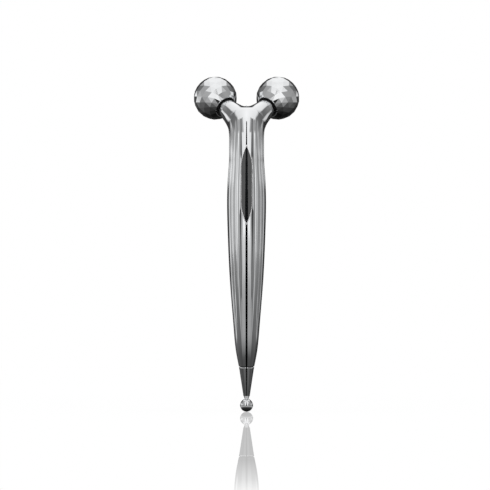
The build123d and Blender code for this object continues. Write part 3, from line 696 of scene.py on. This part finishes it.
# ---- light by azimuth, on the right and on the left: (degrees from straight in front, level) ----
LOW_PANELS = (
    ((30, 0.24), (44, 0.24), (54, 0.36), (62, 0.24), (78, 0.27), (84, 0.72), (92, 0.72), (99, 0.24),
     (106, 0.55), (115, 0.50), (122, 0.03)),
    ((30, 0.36), (44, 0.36), (54, 0.56), (62, 0.33), (70, 0.38), (76, 0.88), (84, 0.88), (92, 0.36),
     (102, 0.85), (117, 0.85), (125, 0.04)))
HIGH_PANELS = (
    ((60, 0.36), (100, 0.32), (112, 0.18), (140, 0.10), (155, 0.03)),
    ((60, 0.42), (100, 0.36), (112, 0.18), (140, 0.13), (155, 0.03)))
WING_PANELS = (                     # behind the sides, between the low and the high panels
    ((110, 0.0), (120, 0.65), (136, 0.65), (145, 0.0)),
    ((110, 0.0), (120, 0.90), (136, 0.90), (145, 0.0)))
CARD_PANELS = (                     # on the floor card, far out
    ((98, 0.0), (104, 0.5), (114, 0.5), (120, 0.0)),
    ((98, 0.0), (104, 0.8), (116, 0.8), (122, 0.0)))
CARD_BEHIND = (                     # share of the floor card's light that is left
    ((100, 1.0), (110, 0.55), (125, 0.4), (140, 0.15)),
    ((100, 1.0), (125, 1.0), (140, 0.25)))

# ---- light on the cards by distance from the tip: (metres, level) ----
CARD_FRONT = (
    (0.0, 0.012), (0.08, 0.035), (0.15, 0.065), (0.188, 0.10), (0.221, 0.17), (0.27, 0.23),
    (0.336, 0.28), (0.5, 0.40), (0.71, 0.48), (0.965, 0.62), (1.32, 0.70), (2.0, 0.85))
CARD_SIDE = (
    (0.0, 0.01), (0.08, 0.025), (0.15, 0.045), (0.19, 0.07), (0.25, 0.085), (0.4, 0.12),
    (0.6, 0.15), (1.0, 0.22), (2.0, 0.33))
CARD_PANEL_START = (0.5, 0.9)
FRONT_ANGLE = 50                    # half-angle of the card's front, in degrees
FRONT_LOSS = 21                     # and how much it loses over the distances of FRONT_CLOSING
FRONT_CLOSING = (0.6, 1.1)
FRONT_EDGE = (0.03, -0.03)          # soft edge, over the half turn
TIP_CARD = ((0.0, 0.01), (0.2, 0.02), (0.35, 0.12), (0.55, 0.45), (1.0, 0.6))  # (share of its radius, level); the low middle is a painted contact shadow

# ---- the tent by direction from the tip: z is the sine of the elevation, y points behind ----
RAISED = (0.19, 0.34)               # z from the low panels to the high ones
WING_START = (0.07, 0.12)
WING_END = (0.38, 0.24)
OVERHEAD = (0.76, 0.86)
STRIP_EDGE = (0.50, 0.34)           # half-width of the light strip, from no light to full light
STRIP_WIDENING = 0.25               # with z
OVERHEAD_NARROWING = 0.33           # in front
BACK_NARROWING = 0.26
BACK_NARROWING_START = (0.45, 0.70)     # y
BACK_STRIP_START = (0.50, 0.64)         # z
STRIP_FALL = 0.35                   # towards its sides, above the low panels
TENT_LEVEL = 1.12


def turned(name, out, height, columns):
    """The surface of revolution (out cos t, out sin t, height) round the upright axis."""
    turn = np.linspace(0, 2 * np.pi, columns + 1)
    points = np.stack([out[:, None] * np.cos(turn), out[:, None] * np.sin(turn),
                       height[:, None] + 0 * turn], axis=-1)
    return mesh_object(name, points.reshape(-1, 3), grid_faces(*points.shape[:2]))


def seen_in_metal_only(card, material):
    """A reflector card that lights nothing by itself and that the camera looks through."""
    card.data.materials.append(material)
    card.visible_camera = False
    card.visible_diffuse = False
    card.visible_shadow = False


def let_glow(card, material, shader, level):
    """Makes a reflector card glow at the level."""
    glow = shader.node("ShaderNodeEmission", Color=(1, 1, 1, 1), Strength=level)
    shader.surface(glow.outputs[0])
    seen_in_metal_only(card, material)


def azimuth_of(shader, x, y):
    """The azimuth, 0 straight in front of the window and 1 straight behind, and 1 on the left side."""
    angle = shader.math("ARCTAN2", x, shader.times(y, -1.0))
    share = shader.math("DIVIDE", shader.math("ABSOLUTE", angle), math.pi)
    return share, shader.math("LESS_THAN", x, 0.0)


def panel_tone(shader, azimuth, sides):
    """Grey level by azimuth, with its own stops on either side."""
    share, is_left = azimuth
    right, left = (shader.ramp(share, stops, full=180) for stops in sides)
    return shader.plus(right, shader.times(shader.minus(left, right), is_left))


def light_strip(shader, x, y, z, raised):
    """The brightest light: a strip that rises in front, wider with height, narrows overhead and comes down
    behind. The share of light is full where |x| less the widening and plus the narrowings is small."""
    aside = shader.math("ABSOLUTE", x)
    in_front = shader.math("LESS_THAN", y, 0.0)
    overhead = shader.times(shader.above(z, *OVERHEAD), in_front)
    width = shader.plus(aside, shader.times(z, -STRIP_WIDENING))
    width = shader.plus(width, shader.times(overhead, OVERHEAD_NARROWING))
    width = shader.plus(width, shader.times(shader.above(y, *BACK_NARROWING_START), BACK_NARROWING))
    height = shader.larger(in_front, shader.above(z, *BACK_STRIP_START))
    strip = shader.times(shader.above(width, *STRIP_EDGE), height)
    fall = shader.times(shader.times(aside, raised), STRIP_FALL)
    return shader.times(strip, shader.minus(1.0, fall))


class TONER_OT_stage(Operator):
    """Set the floor, the reflector panels, the lamps and the camera"""
    bl_idname = "toner.stage"
    bl_label = "Studio"

    def execute(self, context):
        studio = context.scene.toner_studio
        self.make_world(context.scene)
        self.make_floor()
        self.make_tent(studio.tent_radius)
        self.make_floor_card(studio.tent_radius)
        self.make_tip_card()
        self.make_flag()
        self.make_lamps(context.scene, studio.lamp_power)
        self.make_camera(context.scene, studio)
        context.scene.view_settings.view_transform = "Standard"
        return {"FINISHED"}

    def make_world(self, scene):
        """White to the camera and in metal and glass; a plain level light for everything else."""
        world = bpy.data.worlds.new("studio")
        scene.world = world
        world.use_nodes = True
        world.node_tree.nodes.clear()
        shader = Shader(world.node_tree)
        path = shader.node("ShaderNodeLightPath").outputs
        seen = shader.larger(path["Is Camera Ray"], path["Is Glossy Ray"])
        seen = shader.larger(seen, path["Is Transmission Ray"])
        strength = shader.plus(shader.times(seen, 1 - AMBIENT), AMBIENT)
        light = shader.node("ShaderNodeBackground", Color=(1, 1, 1, 1), Strength=strength)
        out = shader.node("ShaderNodeOutputWorld", Surface=light.outputs[0])
        out.is_active_output = True

    def make_floor(self):
        """A white floor with a faint shadow near the object and a weak mirror finish that dies away."""
        x, y = np.meshgrid((-FLOOR_REACH, FLOOR_REACH), (-FLOOR_REACH, FLOOR_REACH))
        points = np.stack([x, y, np.full_like(x, -FLOOR_DEPTH)], axis=-1).reshape(-1, 3)
        floor = mesh_object("floor", points, grid_faces(2, 2))
        material, shader = new_material("floor_white")
        distance = shader.length(object_coordinates(shader))
        mirror = shader.ramp(shader.math("DIVIDE", distance, MIRROR_REACH), MIRROR, full=MIRROR_REACH)
        glow_share = shader.ramp(distance, FLOOR_GLOW)
        path = shader.node("ShaderNodeLightPath").outputs
        seen = shader.larger(path["Is Camera Ray"], path["Is Transmission Ray"])
        plain = shader.node("ShaderNodeBsdfDiffuse", Color=FLOOR_GREY)
        white = shader.node("ShaderNodeEmission", Color=(1, 1, 1, 1), Strength=1.0)
        base = shader.node("ShaderNodeMixShader", Fac=shader.times(seen, glow_share),
                           i1=plain.outputs[0], i2=white.outputs[0])
        glaze = shader.node("ShaderNodeBsdfGlossy", Color=(1, 1, 1, 1), Roughness=0.0)
        top = shader.node("ShaderNodeMixShader", Fac=shader.times(mirror, path["Is Camera Ray"]),
                          i1=base.outputs[0], i2=glaze.outputs[0])
        shader.surface(top.outputs[0])
        floor.data.materials.append(material)
        floor.visible_glossy = False

    def make_tent(self, radius):
        """Panels on a wall round the object, rising straight and then closing overhead in a flat arch.
        Mirrors of no roughness, such as the floor, see it plain white."""
        arc = np.linspace(0, np.pi / 2, ARCH_ROWS)
        out = np.concatenate([[radius], radius * np.cos(arc)])
        height = np.concatenate([[-CARD_DEPTH], TENT_WALL * radius + radius * np.sin(arc) * TENT_ARCH])
        tent = turned("panels", out, height, CARD_COLUMNS)
        material, shader = new_material("panel_light")
        towards = shader.node("ShaderNodeVectorMath", Vector=object_coordinates(shader))
        towards.operation = "NORMALIZE"
        x, y, z = shader.parts(towards.outputs["Vector"])
        azimuth = azimuth_of(shader, x, y)
        raised = shader.above(z, *RAISED)
        low, high, wing = (panel_tone(shader, azimuth, sides)
                           for sides in (LOW_PANELS, HIGH_PANELS, WING_PANELS))
        wing_share = shader.times(shader.above(z, *WING_START), shader.above(z, *WING_END))
        level = shader.larger(shader.mix(raised, low, high), shader.times(wing, wing_share))
        level = shader.larger(level, light_strip(shader, x, y, z, raised))
        path = shader.node("ShaderNodeLightPath").outputs
        level = shader.larger(shader.times(level, TENT_LEVEL), path["Is Singular Ray"])
        let_glow(tent, material, shader, level)

    def make_floor_card(self, radius):
        """A graded card below the floor, darkest under the object; its front narrows with the distance."""
        out = np.linspace(0, radius, CARD_RINGS)
        card = turned("floor_card", out, np.full(CARD_RINGS, -CARD_DEPTH), CARD_COLUMNS)
        material, shader = new_material("card_grade")
        x, y, _ = shader.parts(object_coordinates(shader))
        azimuth = azimuth_of(shader, x, y)
        distance = shader.math("SQRT", shader.plus(shader.times(x, x), shader.times(y, y)))
        front, side = (shader.ramp(shader.math("DIVIDE", distance, radius), stops, full=radius)
                       for stops in (CARD_FRONT, CARD_SIDE))
        side = shader.times(side, panel_tone(shader, azimuth, CARD_BEHIND))
        closing = shader.times(shader.above(distance, *FRONT_CLOSING), FRONT_LOSS / 180)
        edge = shader.minus(FRONT_ANGLE / 180, closing)
        in_front = shader.above(shader.minus(azimuth[0], edge), *FRONT_EDGE)
        panel = shader.times(panel_tone(shader, azimuth, CARD_PANELS),
                             shader.above(distance, *CARD_PANEL_START))
        let_glow(card, material, shader, shader.larger(shader.mix(in_front, side, front), panel))

    def make_flag(self):
        """A narrow black flag close in front: the dark line down the middle of everything round and polished.
        Mirrors of no roughness, such as the floor, look through it."""
        height, half_width = FLAG_OUTLINE.T
        points = np.stack([np.outer(half_width, (-1, 1)), np.full((len(height), 2), -FLAG_DISTANCE),
                           np.outer(height, (1, 1))], axis=-1)
        flag = mesh_object("flag", points.reshape(-1, 3), grid_faces(len(height), 2))
        material, shader = new_material("flag_black")
        black = shader.node("ShaderNodeEmission", Color=(0, 0, 0, 1), Strength=0.0)
        through = shader.node("ShaderNodeBsdfTransparent", Color=(1, 1, 1, 1))
        path = shader.node("ShaderNodeLightPath").outputs
        either = shader.node("ShaderNodeMixShader", Fac=path["Is Singular Ray"], i1=black.outputs[0],
                             i2=through.outputs[0])
        shader.surface(either.outputs[0])
        seen_in_metal_only(flag, material)

    def make_tip_card(self):
        """A small glowing disc under the tip, with a painted contact shadow in its middle where the ball
        touches the floor.
        """
        out = np.linspace(0, TIP_CARD_RADIUS, TIP_CARD_RINGS)
        card = turned("tip_card", out, np.full(TIP_CARD_RINGS, -TIP_CARD_DEPTH), TIP_CARD_COLUMNS)
        material, shader = new_material("tip_card_grade")
        distance = shader.length(object_coordinates(shader))
        level = shader.ramp(shader.math("DIVIDE", distance, TIP_CARD_RADIUS), TIP_CARD)
        let_glow(card, material, shader, level)

    def make_lamps(self, scene, power):
        """One soft overhead lamp and two fills; metal sees the panels instead of them."""
        for name, place, size, share in LAMPS:
            light = bpy.data.lights.new(name, "AREA")
            light.size = size
            light.energy = power * share
            lamp = bpy.data.objects.new(name, light)
            lamp.location = place
            lamp.rotation_euler = (LAMP_TARGET - Vector(place)).to_track_quat("-Z", "Y").to_euler()
            lamp.visible_glossy = False
            scene.collection.objects.link(lamp)

    def make_camera(self, scene, studio):
        data = bpy.data.cameras.new("camera")
        data.lens = studio.lens
        data.sensor_width = 36.0
        data.clip_end = 20.0
        camera = bpy.data.objects.new("camera", data)
        camera.location = (CAMERA_ASIDE, -studio.camera_distance, studio.camera_height)
        camera.rotation_euler = (math.pi / 2, 0, 0)
        scene.collection.objects.link(camera)
        scene.camera = camera


class TONER_PT_panel(Panel):
    """Builds the device piece by piece"""
    bl_label = "Facial toning device"
    bl_space_type = "VIEW_3D"
    bl_region_type = "UI"
    bl_category = "Toner"

    def draw(self, context):
        for group in (context.scene.toner_finishes, context.scene.toner_studio):
            box = self.layout.box()
            for name in group.__annotations__:
                box.prop(group, name)
        for operator in OPERATORS:
            self.layout.operator(operator.bl_idname)


OPERATORS = (TONER_OT_casing, TONER_OT_window, TONER_OT_rollers, TONER_OT_tip, TONER_OT_inside,
             TONER_OT_stage)
CLASSES = (TonerFinishes, TonerStudio, *OPERATORS, TONER_PT_panel)


def register():
    for item in CLASSES:
        bpy.utils.register_class(item)
    bpy.types.Scene.toner_finishes = PointerProperty(type=TonerFinishes)
    bpy.types.Scene.toner_studio = PointerProperty(type=TonerStudio)


def unregister():
    del bpy.types.Scene.toner_studio
    del bpy.types.Scene.toner_finishes
    for item in reversed(CLASSES):
        bpy.utils.unregister_class(item)


def main():
    register()
    bpy.ops.toner.casing()
    bpy.ops.toner.window()
    bpy.ops.toner.rollers()
    bpy.ops.toner.tip()
    bpy.ops.toner.inside()
    bpy.ops.toner.stage()


if __name__ == "__main__":
    main()
